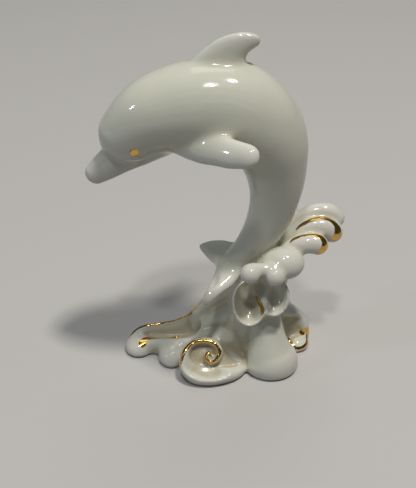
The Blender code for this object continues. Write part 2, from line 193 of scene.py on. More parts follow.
# Beak and jaw: x, z, half-width and half-height
BEAK = (
    (-33.9, 61.9, 2.7, 3.1),
    (-31.2, 64.0, 3.3, 3.9),
    (-27.0, 67.2, 3.7, 4.8),
    (-22.0, 70.5, 4.6, 5.8),
    (-17.0, 74.0, 6.2, 6.8),
)


def placed(point):
    """A drawn point, or half-sizes, in metres on the figurine."""
    return Vector((point[0] * ALONG_X, point[1] * ALONG_Y, point[2] * ALONG_Z))


def spline(rows, steps=STATION_STEPS):
    """Rows of numbers joined by a Catmull-Rom curve that passes through each row."""
    rows = np.array(rows, float)
    padded = np.vstack([2 * rows[0] - rows[1], rows, 2 * rows[-1] - rows[-2]])
    samples = []
    for i in range(1, len(rows)):
        a, b, c, d = padded[i - 1 : i + 3]
        for step in range(steps):
            t = step / steps
            doubled = (
                2 * b
                + (c - a) * t
                + (2 * a - 5 * b + 4 * c - d) * t**2
                + (3 * b - a - 3 * c + d) * t**3
            )
            samples.append(0.5 * doubled)
    samples.append(rows[-1])
    return np.array(samples)


def lump(name, rings, poles):
    """A closed mesh object through rings of points, closed by a pole at each end."""
    mesh = bmesh.new()
    loops = [[mesh.verts.new(placed(p)) for p in ring] for ring in rings]
    sides = len(loops[0])
    for one, other in zip(loops, loops[1:]):
        for i in range(sides):
            mesh.faces.new((one[i], one[(i + 1) % sides], other[(i + 1) % sides], other[i]))
    for loop, pole in ((loops[0], poles[0]), (loops[-1], poles[1])):
        tip = mesh.verts.new(placed(pole))
        for i in range(sides):
            mesh.faces.new((loop[i], loop[(i + 1) % sides], tip))
    bmesh.ops.recalc_face_normals(mesh, faces=mesh.faces)
    data = bpy.data.meshes.new(name)
    mesh.to_mesh(data)
    mesh.free()
    return bpy.data.objects.new(name, data)


def ring(centre, across, up, a, b):
    """An ellipse of half-sizes a along across and b along up."""
    angles = (2 * math.pi * i / RING_SIDES for i in range(RING_SIDES))
    return [centre + across * (a * math.cos(t)) + up * (b * math.sin(t)) for t in angles]


def sweep(name, stations, side, roundness=1.0):
    """A bar with rounded ends through stations of x, y, z and its half-sizes along side and across it."""
    rows = spline(stations)
    centres = [Vector(row[:3]) for row in rows]
    frames = []
    for i in range(len(rows)):
        along = (centres[min(i + 1, len(rows) - 1)] - centres[max(i - 1, 0)]).normalized()
        across = (side - along * side.dot(along)).normalized()
        frames.append((along, across, across.cross(along)))
    rings, poles = [], []
    for end, outward in ((0, -1), (-1, 1)):
        along, across, up = frames[end]
        a, b = rows[end][3:]
        reach = min(a, b) * roundness
        caps = []
        for step in range(1, CAP_RINGS):
            turn = math.pi / 2 * step / CAP_RINGS
            centre = centres[end] + along * (outward * reach * math.sin(turn))
            caps.append(ring(centre, across, up, a * math.cos(turn), b * math.cos(turn)))
        poles.append(centres[end] + along * (outward * reach))
        rings.append(caps)
    middle = [ring(c, f[1], f[2], row[3], row[4]) for c, f, row in zip(centres, frames, rows)]
    return lump(name, rings[0][::-1] + middle + rings[1], poles)


def blade(name, rows, normal):
    """A fin through rows of leading edge x, y, z, trailing edge x, y, z and thickness."""
    rings = []
    for row in spline(rows):
        front, back = Vector(row[:3]), Vector(row[3:6])
        chord = (back - front) / 2
        flat = (normal - chord.normalized() * normal.dot(chord.normalized())).normalized()
        rings.append(ring((front + back) / 2, chord.normalized(), flat, chord.length, row[6] / 2))
    middle = [sum(ends, Vector()) / len(ends) for ends in (rings[0], rings[-1])]
    return lump(name, rings, middle)


def ball(name, centre, radii):
    """An ellipsoid with its centre and half-sizes."""
    mesh = bmesh.new()
    bmesh.ops.create_uvsphere(mesh, u_segments=BALL_SIDES, v_segments=BALL_RINGS, radius=1)
    bmesh.ops.scale(mesh, vec=placed(radii), verts=mesh.verts)
    bmesh.ops.translate(mesh, vec=placed(centre), verts=mesh.verts)
    data = bpy.data.meshes.new(name)
    mesh.to_mesh(data)
    mesh.free()
    return bpy.data.objects.new(name, data)


def evaluated(obj):
    """The object's mesh with its modifiers applied."""
    bpy.context.view_layer.update()
    graph = bpy.context.evaluated_depsgraph_get()
    return bpy.data.meshes.new_from_object(obj.evaluated_get(graph))


def join_weights(mesh, trees, reach):
    """For each point, 1 where two lumps meet, falling to 0 where the second is twice the reach away."""
    weights = np.zeros(len(mesh.vertices))
    for vertex in mesh.vertices:
        hits = [tree.find_nearest(vertex.co, 2 * reach) for tree in trees]
        gaps = sorted(hit[3] for hit in hits if hit[0] is not None)
        if len(gaps) > 1:
            weights[vertex.index] = min(1.0, 2 - gaps[1] / reach)
    return weights


def knead(name, lumps, blend):
    """One clay body from overlapping lumps, with the creases between them rounded to about blend."""
    trees = []
    union = bmesh.new()
    for piece in lumps:
        mesh = bmesh.new()
        mesh.from_mesh(piece.data)
        trees.append(BVHTree.FromBMesh(mesh))
        mesh.free()
        union.from_mesh(piece.data)
    data = bpy.data.meshes.new(name)
    union.to_mesh(data)
    union.free()
    clay = bpy.data.objects.new(name, data)
    bpy.context.scene.collection.objects.link(clay)
    remesh = clay.modifiers.new("clay", "REMESH")
    remesh.mode = "VOXEL"
    remesh.voxel_size = VOXEL
    clay.data = evaluated(clay)
    clay.modifiers.clear()

    weights = join_weights(clay.data, trees, blend)
    group = clay.vertex_groups.new(name="joins")
    for index in np.flatnonzero(weights > 0):
        group.add([int(index)], float(weights[index]), "REPLACE")
    # A crease widens with the root of the passes, so these go with the square of the blend
    radius_in_voxels = 0.5 * blend / VOXEL
    melt = clay.modifiers.new("melt", "SMOOTH")
    melt.factor = 0.5
    melt.iterations = max(1, round(4 * radius_in_voxels**2))
    melt.vertex_group = group.name
    clay.data = evaluated(clay)
    clay.modifiers.clear()
    clay.vertex_groups.clear()
    bpy.context.scene.collection.objects.unlink(clay)
    return clay


def press(clay, tools):
    """Pushes the clay inside each round tool along its direction until it lies on the tool."""
    for centre, radii, push in tools:
        size = placed(radii)
        step = Vector(p / s for p, s in zip(push, size))
        for vertex in clay.data.vertices:
            inside = Vector(p / s for p, s in zip(vertex.co - placed(centre), size))
            if inside.length < 1:
                a = step.dot(step)
                b = step.dot(inside)
                reach = (math.sqrt(b * b - a * (inside.dot(inside) - 1)) - b) / a
                vertex.co += push * reach


def round_foot(clay):
    """Draws the clay in towards the floor, so that the foot's lower edge is rounded."""
    flats = [Vector((vertex.normal.x, vertex.normal.y, 0)) for vertex in clay.data.vertices]
    for vertex, flat in zip(clay.data.vertices, flats):
        drop = min(FOOT_ROUND, max(0, FOOT_ROUND - vertex.co.z))
        vertex.co -= flat * (FOOT_ROUND - math.sqrt(FOOT_ROUND**2 - drop**2))


def pectoral_fin(side, turn):
    """A thick rounded flipper that points back and out from the chest."""
    return sweep(
        side + "_pectoral_fin",
        (
            (-13.0, turn * 2.0, 75.0, 4.6, 3.2),
            (-9.0, turn * 6.0, 74.6, 4.6, 3.0),
            (-5.4, turn * 9.5, 74.8, 4.4, 2.7),
            (-2.0, turn * 12.6, 75.6, 4.0, 2.4),
            (1.4, turn * 15.3, 76.3, 3.8, 2.2),
            (4.4, turn * 17.2, 76.7, 3.3, 2.1),
        ),
        Vector((0.25, -turn * 0.45, 0.85)).normalized(),
        1.9,
    )


def dolphin():
    """Body, beak, fins and flukes in one, with the left fluke hollowed from above."""
    wide = BODY_FLATNESS * BODY_GIRTH / DRAWN_GIRTH / ALONG_Y
    deep = BODY_GIRTH / DRAWN_GIRTH / ALONG_Z
    body = sweep("body", [(x, 0, z, r * wide, r * deep) for x, z, r in BODY], Y_AXIS, 0.2)
    beak = sweep("beak", [(x, 0, z, a, b) for x, z, a, b in BEAK], Y_AXIS)
    dorsal = blade(
        "dorsal_fin",
        (
            (-13.0, 0, 86.0, 7.0, 0, 86.0, 6.4),
            (-8.5, 0, 93.6, 5.2, 0, 92.4, 4.8),
            (-5.0, 0, 96.9, 5.2, 0, 94.5, 4.0),
            (-1.2, 0, 99.3, 6.5, 0, 96.1, 3.3),
            (2.4, 0, 100.4, 8.0, 0, 97.4, 2.7),
            (5.0, 0, 100.5, 8.4, 0, 98.6, 2.1),
            (6.8, 0, 100.2, 8.2, 0, 99.3, 1.2),
        ),
        Y_AXIS,
    )
    left_fluke = blade(
        "left_fluke",
        (
            (8.0, -1.0, 37.0, -2.0, 0.5, 31.0, 5.0),
            (5.2, -4.5, 32.6, -2.6, -2.5, 30.4, 4.2),
            (2.6, -7.2, 30.6, -3.6, -5.5, 30.2, 3.4),
            (-0.4, -9.4, 29.4, -4.6, -8.5, 29.8, 2.8),
            (-2.6, -11.0, 28.2, -5.5, -10.4, 29.1, 2.5),
            (-4.4, -12.1, 27.1, -6.0, -11.8, 28.3, 2.1),
        ),
        Z_AXIS,
    )
    right_fluke = blade(
        "right_fluke",
        (
            (9.0, 1.0, 38.0, -2.0, 0.0, 31.0, 5.0),
            (5.4, 4.0, 37.0, -2.6, 2.4, 30.0, 4.0),
            (2.2, 6.4, 35.8, -3.6, 5.5, 29.2, 3.2),
            (-0.6, 8.4, 34.8, -4.8, 8.0, 28.9, 2.6),
            (-3.4, 10.4, 33.2, -5.8, 10.0, 29.0, 2.0),
            (-5.6, 11.6, 31.5, -6.6, 11.4, 29.3, 1.4),
            (-6.8, 12.2, 30.2, -7.0, 12.2, 29.8, 0.8),
        ),
        Z_AXIS,
    )
    head = knead("head_and_body", [body, beak], BEAK_CREASE)
    tail = knead("dolphin_with_tail", [head, dorsal, left_fluke, right_fluke], TAIL_JOIN)
    press(tail, (((-3.8, -7.0, 34.3), (3.4, 5.2, 4.2), Vector((0, 0, -1))),))
    return knead("dolphin", [tail, pectoral_fin("left", -1), pectoral_fin("right", 1)], FIN_JOIN)


def trunk():
    """The column of water that carries the dolphin, and its rounded foot in front."""
    return [
        sweep(
            "trunk",
            (
                (9.0, 3.0, -3.0, 13.0, 11.0),
                (9.2, 2.6, 3.0, 11.0, 9.6),
                (9.4, 2.0, 10.0, 9.0, 8.2),
                (9.6, 1.2, 18.0, 7.8, 7.2),
                (10.0, 0.8, 26.0, 7.4, 6.4),
                (11.0, 0.8, 33.0, 6.4, 5.4),
                (13.0, 1.0, 37.0, 5.0, 4.4),
            ),
            X_AXIS,
        ),
        sweep(
            "front_foot",
            (
                (14.0, -7.0, -1.0, 7.8, 7.2),
                (14.2, -6.7, 2.2, 8.2, 7.8),
                (13.5, -5.8, 5.4, 6.9, 6.8),
                (12.9, -4.6, 9.4, 5.7, 5.8),
                (12.4, -3.4, 14.0, 5.0, 5.0),
                (12.0, -2.6, 19.0, 4.6, 4.6),
            ),
            X_AXIS,
        ),
    ]


def tongue():
    """The low tongue that runs out to the left: a ridge behind, a fold along it and a lobe in front."""
    return [
        sweep(
            "tongue_ridge",
            (
                (4.0, 1.5, 24.0, 1.8, 3.0),
                (-2.0, 1.8, 19.4, 1.6, 2.4),
                (-6.4, 2.2, 14.2, 1.5, 1.9),
                (-9.6, 3.0, 10.4, 1.4, 1.5),
                (-13.6, 4.0, 7.0, 1.3, 1.4),
                (-19.0, 4.2, 5.6, 1.3, 1.3),
                (-24.0, 4.0, 4.8, 1.3, 1.3),
                (-27.4, 3.0, 2.8, 1.4, 1.3),
            ),
            Y_AXIS,
        ),
        sweep(
            "tongue_fold",
            (
                (-4.0, -4.0, 6.0, 2.0, 2.2),
                (-9.0, -2.6, 4.8, 1.7, 1.8),
                (-14.0, -1.6, 3.8, 1.6, 1.6),
                (-19.0, -1.0, 3.2, 1.6, 1.6),
                (-24.0, -0.6, 2.8, 1.8, 1.6),
            ),
            Y_AXIS,
        ),
        sweep(
            "tongue_back",
            (
                (4.0, 4.0, 8.0, 7.0, 12.0),
                (-3.0, 4.0, 5.5, 5.6, 9.0),
                (-8.0, 4.6, 3.0, 4.4, 6.6),
                (-14.0, 5.2, 1.0, 3.6, 5.0),
                (-20.0, 5.0, 0.4, 3.4, 4.6),
                (-25.0, 4.0, 0.2, 3.0, 3.6),
            ),
            Y_AXIS,
        ),
        sweep(
            "tongue",
            (
                (5.0, 1.0, 6.0, 5.8, 7.4),
                (-2.0, -0.8, 3.5, 6.8, 6.4),
                (-8.0, -0.4, 1.2, 6.0, 4.6),
                (-14.0, 0.4, 0.4, 4.8, 3.4),
                (-20.0, 1.2, 0.4, 4.0, 3.2),
                (-25.0, 1.4, 0.4, 3.6, 3.0),
            ),
            Y_AXIS,
        ),
        ball("tongue_tip", (-25.2, 0.4, 1.0), (4.5, 4.9, 3.6)),
        ball("small_lobe", (-15.0, -3.8, 1.2), (4.3, 5.2, 4.2)),
    ]


def front_scroll():
    """A volute that leans back: a dish with a lip below, and a thin ridge that coils over it."""
    foot = Vector((-5.2, -14.2, 2.6))
    up = Vector((0, 0.634, 0.773))
    out = X_AXIS.cross(up)
    lip = (
        (11.0, 1.6, -4.6, 1.8, 1.6),
        (8.4, 0.4, -2.4, 2.4, 2.0),
        (5.0, -0.1, -0.7, 2.6, 2.4),
        (1.0, -0.3, 0.0, 2.7, 2.7),
        (-2.8, 0.4, 0.0, 2.7, 2.7),
        (-5.3, 2.6, 0.0, 2.6, 2.2),
        (-5.9, 5.4, -0.8, 2.4, 1.5),
    )
    coil = (
        (-5.2, 2.6, -0.6, 2.0, 1.7),
        (-5.9, 5.4, -0.4, 2.6, 1.4),
        (-5.1, 7.8, -1.0, 2.6, 1.2),
        (-3.5, 9.3, -1.2, 2.6, 1.0),
        (-1.4, 10.0, -1.2, 2.6, 1.0),
        (0.8, 9.9, -1.2, 2.6, 1.0),
        (2.8, 9.1, -1.2, 2.6, 1.0),
        (4.1, 7.6, -1.2, 2.6, 1.0),
        (4.2, 5.9, -1.2, 2.6, 1.0),
        (3.2, 4.5, -1.2, 2.6, 0.9),
        (1.9, 3.9, -1.2, 2.4, 0.9),
        (0.7, 4.5, -1.2, 2.4, 0.8),
        (0.6, 5.8, -1.2, 2.2, 0.8),
        (1.3, 6.6, -1.2, 2.0, 0.7),
    )
    pad = (
        (-3.6, 5.4, -3.6, 4.2, 2.4),
        (-0.6, 5.4, -3.7, 5.4, 2.4),
        (3.2, 4.6, -3.9, 5.0, 2.2),
        (7.2, 3.0, -4.8, 3.6, 2.0),
    )

    def on_slope(rows):
        stations = []
        for u, v, lift, deep, wide in rows:
            point = foot + X_AXIS * u + up * v + out * lift
            stations.append((*point, deep, wide))
        return stations

    shoulder = (
        (-1.4, -5.4, 6.4, 2.8, 2.0),
        (2.0, -6.2, 4.2, 2.6, 2.0),
        (5.0, -7.6, 1.8, 2.8, 2.4),
    )
    dish = knead(
        "scroll_dish",
        [
            sweep("scroll_lip", on_slope(lip), out),
            sweep("scroll_pad", on_slope(pad), up),
            sweep("scroll_shoulder", shoulder, Y_AXIS),
        ],
        SHARP_CREASE,
    )
    press(dish, (((-3.2, -15.1, 7.6), (9.0, 4.8, 4.8), -out),))
    return [dish, sweep("scroll_coil", on_slope(coil), out)]


def right_scroll():
    """A hood that curls down to the floor over a pad, and the wave behind it."""
    return [
        sweep(
            "right_hood",
            (
                (14.0, 2.6, 18.0, 3.0, 3.0),
                (18.4, 3.6, 13.4, 2.6, 2.2),
                (21.4, 5.0, 10.6, 2.4, 1.9),
                (23.6, 5.8, 7.8, 2.2, 1.8),
                (25.0, 5.8, 4.8, 2.2, 1.8),
                (25.2, 5.4, 1.0, 2.2, 1.8),
            ),
            Y_AXIS,
        ),
        sweep(
            "right_back",
            (
                (14.0, 6.0, 12.0, 4.0, 6.0),
                (18.0, 6.4, 6.6, 3.6, 6.0),
                (20.0, 6.4, 1.0, 4.0, 6.0),
            ),
            Y_AXIS,
        ),
        ball("right_pad", (22.4, 2.6, 0.4), (4.4, 4.8, 3.2)),
    ]


def middle_curl():
    """Two cups side by side on the trunk's front, which bowls() hollows."""
    return [
        ball("left_cup", (7.4, -7.6, 24.0), (5.3, 5.2, 7.4)),
        ball("right_cup", (14.0, -6.2, 25.4), (4.8, 5.2, 6.3)),
    ]


def foam():
    """Two knobs of foam in front of the tail stock, and the foam that joins them to the crest."""
    knob = [KNOB_WIDTH / 2 / drawn for drawn in (ALONG_X, ALONG_Y, ALONG_Z)]
    return [
        ball("left_knob", (7.2, -9.6, 36.0), knob),
        ball("right_knob", (14.0, -9.2, 34.9), knob),
        ball("foam_head", (16.9, -4.6, 36.0), (5.6, 4.8, 4.7)),
        sweep(
            "foam_bridge",
            (
                (8.0, -8.8, 36.8, 2.0, 2.0),
                (10.8, -8.4, 36.6, 1.8, 1.8),
                (13.8, -7.8, 36.4, 2.2, 2.2),
            ),
            Z_AXIS,
        ),
        sweep(
            "foam_back",
            (
                (11.4, -4.8, 35.0, 2.6, 2.6),
                (13.8, -4.6, 36.4, 3.4, 3.4),
                (16.8, -3.6, 37.2, 3.6, 3.4),
            ),
            Y_AXIS,
        ),
        sweep(
            "foam_neck",
            (
                (17.0, -3.4, 36.4, 3.8, 3.8),
                (15.8, -1.2, 31.5, 3.4, 3.4),
                (15.0, -0.4, 26.0, 3.4, 3.4),
            ),
            X_AXIS,
        ),
    ]


def crest():
    """Three fingers of water that curl over to the right, with a bud and the root they share."""
    return [
        sweep(
            "upper_finger",
            (
                (14.0, 5.6, 35.0, 2.6, 3.2),
                (18.0, 6.4, 39.4, 2.5, 3.0),
                (22.4, 7.2, 42.4, 2.5, 3.0),
                (26.2, 8.0, 44.2, 2.6, 3.0),
                (29.8, 8.0, 44.3, 2.6, 2.9),
                (31.9, 7.8, 42.7, 2.6, 2.7),
            ),
            Y_AXIS,
        ),
        sweep(
            "middle_finger",
            (
                (13.0, 2.2, 34.0, 2.5, 3.0),
                (17.4, 3.0, 37.6, 2.5, 2.9),
                (21.4, 3.6, 40.2, 2.5, 2.9),
                (25.4, 4.0, 42.0, 2.5, 3.0),
                (28.8, 4.0, 41.8, 2.6, 3.1),
                (30.9, 4.0, 40.3, 2.7, 3.0),
            ),
            Y_AXIS,
        ),
        sweep(
            "lower_finger",
            (
                (12.0, -1.2, 33.0, 2.4, 3.0),
                (16.0, -1.2, 36.4, 2.4, 2.9),
                (19.6, -1.2, 38.8, 2.4, 2.9),
                (23.0, -1.2, 40.0, 2.5, 2.9),
                (25.6, -1.2, 40.0, 2.6, 3.0),
                (26.4, -1.2, 39.6, 2.6, 2.9),
            ),
            Y_AXIS,
        ),
        sweep(
            "crest_root",
            (
                (11.0, 2.4, 24.0, 6.4, 5.6),
                (14.5, 2.6, 31.0, 5.6, 4.4),
                (19.0, 3.2, 36.4, 4.6, 2.4),
                (24.0, 3.8, 39.4, 4.2, 1.6),
            ),
            Y_AXIS,
        ),
        ball("crest_bud", (20.4, 8.4, 42.4), (2.6, 2.6, 2.6)),
    ]


def back_of_wave():
    """The plain rounded lobes that carry the wave at the back."""
    return [
        sweep(
            "back_foot",
            (
                (4.0, 8.0, -2.0, 7.6, 7.4),
                (4.6, 7.6, 2.5, 7.0, 7.0),
                (6.4, 5.8, 9.0, 5.8, 5.6),
                (8.0, 4.0, 16.0, 4.8, 4.6),
            ),
            X_AXIS,
        ),
        ball("back_right_lobe", (15.0, 9.2, 1.2), (6.4, 5.4, 5.2)),
        ball("back_left_lobe", (-8.0, 7.4, 1.0), (5.8, 4.8, 4.8)),
    ]


def bowls():
    """Round tools pressed into the clay: centre, half-sizes and the way each is pushed."""
    inward = Vector((0, 1, -0.3)).normalized()
    return (
        ((7.4, -12.8, 27.2), (4.8, 8.8, 8.4), inward),
        ((14.4, -11.8, 28.4), (4.0, 7.6, 7.0), inward),
        ((10.6, -10.2, 29.6), (6.2, 7.0, 6.2), inward),
        ((22.6, 0.2, 8.4), (3.4, 4.0, 3.6), Vector((-0.5, 0.8, -0.1)).normalized()),
        ((-15.0, 1.8, 8.2), (13.0, 2.7, 5.2), Vector((0, 0.2, -1)).normalized()),
    )


def flat_foot(clay):
    """Cuts the clay off at the floor."""
    mesh = bmesh.new()
    mesh.from_mesh(clay.data)
    cut = bmesh.ops.bisect_plane(
        mesh,
        geom=mesh.verts[:] + mesh.edges[:] + mesh.faces[:],
        plane_co=(0, 0, 0),
        plane_no=(0, 0, -1),
        clear_outer=True,
    )
    rim = [edge for edge in cut["geom_cut"] if isinstance(edge, bmesh.types.BMEdge)]
    bmesh.ops.holes_fill(mesh, edges=rim, sides=0)
    mesh.to_mesh(clay.data)
    mesh.free()


def even_out(clay):
    """Takes the last ripples out of the clay without thinning it."""
    flow = clay.modifiers.new("flow", "LAPLACIANSMOOTH")
    flow.lambda_factor = RIPPLE_SMOOTHING
    flow.iterations = RIPPLE_PASSES
    clay.data = evaluated(clay)
    clay.modifiers.clear()


def mark_hollows(mesh):
    """Keeps on each point how far it lies in a hollow or in a pool of painted shade, up to 1, or on a
    ridge, down to -1.
    """
    count = len(mesh.vertices)
    points = np.empty(count * 3)
    normals = np.empty(count * 3)
    mesh.vertices.foreach_get("co", points)
    mesh.vertices.foreach_get("normal", normals)
    points = points.reshape(-1, 3)
    normals = normals.reshape(-1, 3)
    ends = np.empty(len(mesh.edges) * 2, int)
    mesh.edges.foreach_get("vertices", ends)
    one, other = ends.reshape(-1, 2).T
    neighbours = np.bincount(one, minlength=count) + np.bincount(other, minlength=count)
    relaxed = points.copy()
    for _ in range(HOLLOW_STEPS):
        relaxed = np.column_stack(
            [
                (np.bincount(one, axis[other], count) + np.bincount(other, axis[one], count)) / neighbours
                for axis in relaxed.T
            ]
        )
    depth = ((relaxed - points) * normals).sum(axis=1) / HOLLOW_DEPTH
    # The pools add painted shade to the hollow measure in the creases
    for centre, reach in POOLS_AND_PAINTED_SHADE:
        near = 1 - np.linalg.norm(points - np.array(placed(centre)), axis=1) / (reach * MM)
        depth += np.clip(near, 0, 1) * POOL_AND_SHADE_DEPTH
    mesh.attributes.new("hollow", "FLOAT", "POINT").data.foreach_set("value", np.clip(depth, -1, 1))


def porcelain_figurine():
    """The whole casting, even and ready to be glazed."""
    base = knead("base", trunk() + tongue() + right_scroll() + middle_curl() + back_of_wave(), WAVE_JOIN)
    press(base, bowls())
    wave = [
        base,
        knead("front_scroll", front_scroll(), SHARP_CREASE),
        knead("foam", foam(), FOAM_CREASE),
        knead("crest", crest(), SHARP_CREASE),
    ]
    figurine = knead("porcelain_figurine", [dolphin()] + wave, CASTING_CREASE)
    even_out(figurine)
    round_foot(figurine)
    flat_foot(figurine)
    mark_hollows(figurine.data)
    for face in figurine.data.polygons:
        face.use_smooth = True
    return figurine


def laid(skin, point, lift):
    """The place on the glaze nearest a point, raised by lift."""
    place, normal = skin.find_nearest(point)[:2]
    return place + normal * lift


def stroke(name, skin, rows):
    """A brush stroke of gold through rows of x, y, z and width, in mm, laid on the glaze."""
    coarse = spline(rows) * MM
    gaps = np.linalg.norm(np.diff(coarse[:, :3], axis=0), axis=1)
    along = np.concatenate([[0], np.cumsum(gaps)])
    steps = max(4, round(along[-1] / GOLD_STEP))
    even = np.linspace(0, along[-1], steps + 1)
    path = np.column_stack([np.interp(even, along, coarse[:, i]) for i in range(4)])
    feet = [skin.find_nearest(Vector(row[:3]))[:2] for row in path]
    for _ in range(GOLD_SETTLES):
        places = [foot for foot, _ in feet]
        middles = [(one + two * 2 + three) / 4 for one, two, three in zip(places, places[1:], places[2:])]
        feet = [skin.find_nearest(place)[:2] for place in [places[0], *middles, places[-1]]]
    mesh = bmesh.new()
    thin = mesh.verts.layers.float.new("thin")
    lines = []
    for i, (row, (foot, normal)) in enumerate(zip(path, feet)):
        ahead = feet[min(i + 1, steps)][0] - feet[max(i - 1, 0)][0]
        across = normal.cross(ahead).normalized()
        line = []
        for j in range(GOLD_STRANDS):
            side = 2 * j / (GOLD_STRANDS - 1) - 1
            waver = 1 + BRUSH_WAVER * math.sin(2.1 * i + 1.3 * side) + BRUSH_SWELL * math.sin(0.7 * i)
            lift = GOLD_COAT * (1 - side**2) - GOLD_EDGE
            vertex = mesh.verts.new(laid(skin, foot + across * (side * waver * row[3] / 2), lift))
            vertex[thin] = abs(side)
            line.append(vertex)
        lines.append(line)
    for one, other in zip(lines, lines[1:]):
        for j in range(GOLD_STRANDS - 1):
            mesh.faces.new((one[j], one[j + 1], other[j + 1], other[j]))
    return gilt(name, mesh)


def dab(name, skin, centre, along, across):
    """A dab of gold with its centre in mm, and half-sizes along and across the dolphin's length."""
    foot, normal = skin.find_nearest(Vector(centre) * MM)[:2]
    forward = (X_AXIS - normal * normal.x).normalized()
    upward = normal.cross(forward)
    mesh = bmesh.new()
    thin = mesh.verts.layers.float.new("thin")
    loops = [[mesh.verts.new(laid(skin, foot, GOLD_COAT))]]
    for ring_number in range(1, DAB_RINGS + 1):
        share = ring_number / DAB_RINGS
        loop = []
        for i in range(DAB_SIDES):
            turn = 2 * math.pi * i / DAB_SIDES
            waver = 1 + DAB_WAVER * math.sin(3 * turn + 0.8)
            reach = forward * (along * math.cos(turn)) + upward * (across * math.sin(turn))
            lift = GOLD_COAT * (1 - share**2) - GOLD_EDGE * share
            vertex = mesh.verts.new(laid(skin, foot + reach * (share * waver * MM), lift))
            vertex[thin] = share
            loop.append(vertex)
        loops.append(loop)
    for i in range(DAB_SIDES):
        after = (i + 1) % DAB_SIDES
        mesh.faces.new((loops[0][0], loops[1][i], loops[1][after]))
        for one, other in zip(loops[1:], loops[2:]):
            mesh.faces.new((one[i], other[i], other[after], one[after]))
    return gilt(name, mesh)


def gilt(name, mesh):
    """A gold piece made from its finished mesh, with smooth shading."""
    for face in mesh.faces:
        face.smooth = True
    data = bpy.data.meshes.new(name)
    mesh.to_mesh(data)
    mesh.free()
    piece = bpy.data.objects.new(name, data)
    bpy.context.scene.collection.objects.link(piece)
    return piece


